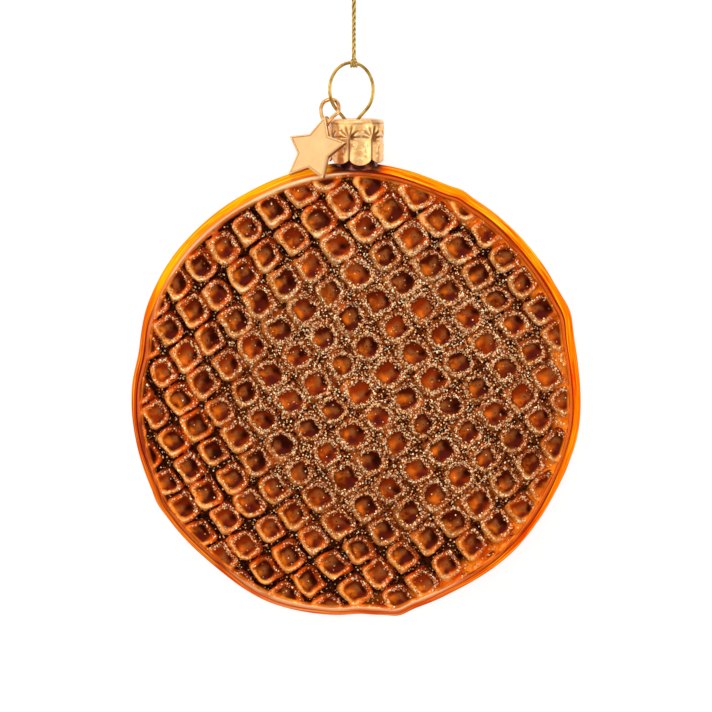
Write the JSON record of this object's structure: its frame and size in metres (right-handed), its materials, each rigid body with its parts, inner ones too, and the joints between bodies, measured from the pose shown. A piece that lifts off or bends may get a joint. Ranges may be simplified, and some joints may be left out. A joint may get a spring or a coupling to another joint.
{
  "type": "stroopwafel christmas ornament",
  "caption": "Blown-glass tree ornament shaped like a round syrup waffle, with a fluted metal cap, wire hanger, star charm and hanging cord.",
  "frame": {"origin": "middle of the ornament's plan (without its cord), at the back lip's flat, which is what it rests on", "axes": "+Z is the shown waffle face's outward direction, +Y points from the disc to the cap and hanger, +X is to the right of the shown face"},
  "size_m": [0.0856, 0.138, 0.0166],
  "materials": {
    "glass": "silvered inside, glossy orange to brown lacquer outside, gold and bronze glitter in the pattern",
    "gold_metal": "thin pressed metal, warm gold, glossy",
    "wire": "polished spring wire",
    "cord": "three twisted metallic gold strands"
  },
  "bodies": {
    "root": {"waffle_glass": "glass", "cap": "gold_metal", "hanger_wire": "wire", "jump_ring": "gold_metal", "star_charm": "gold_metal", "hanging_cord": "cord", "cord_knot": "cord"}
  },
  "joints": []
}
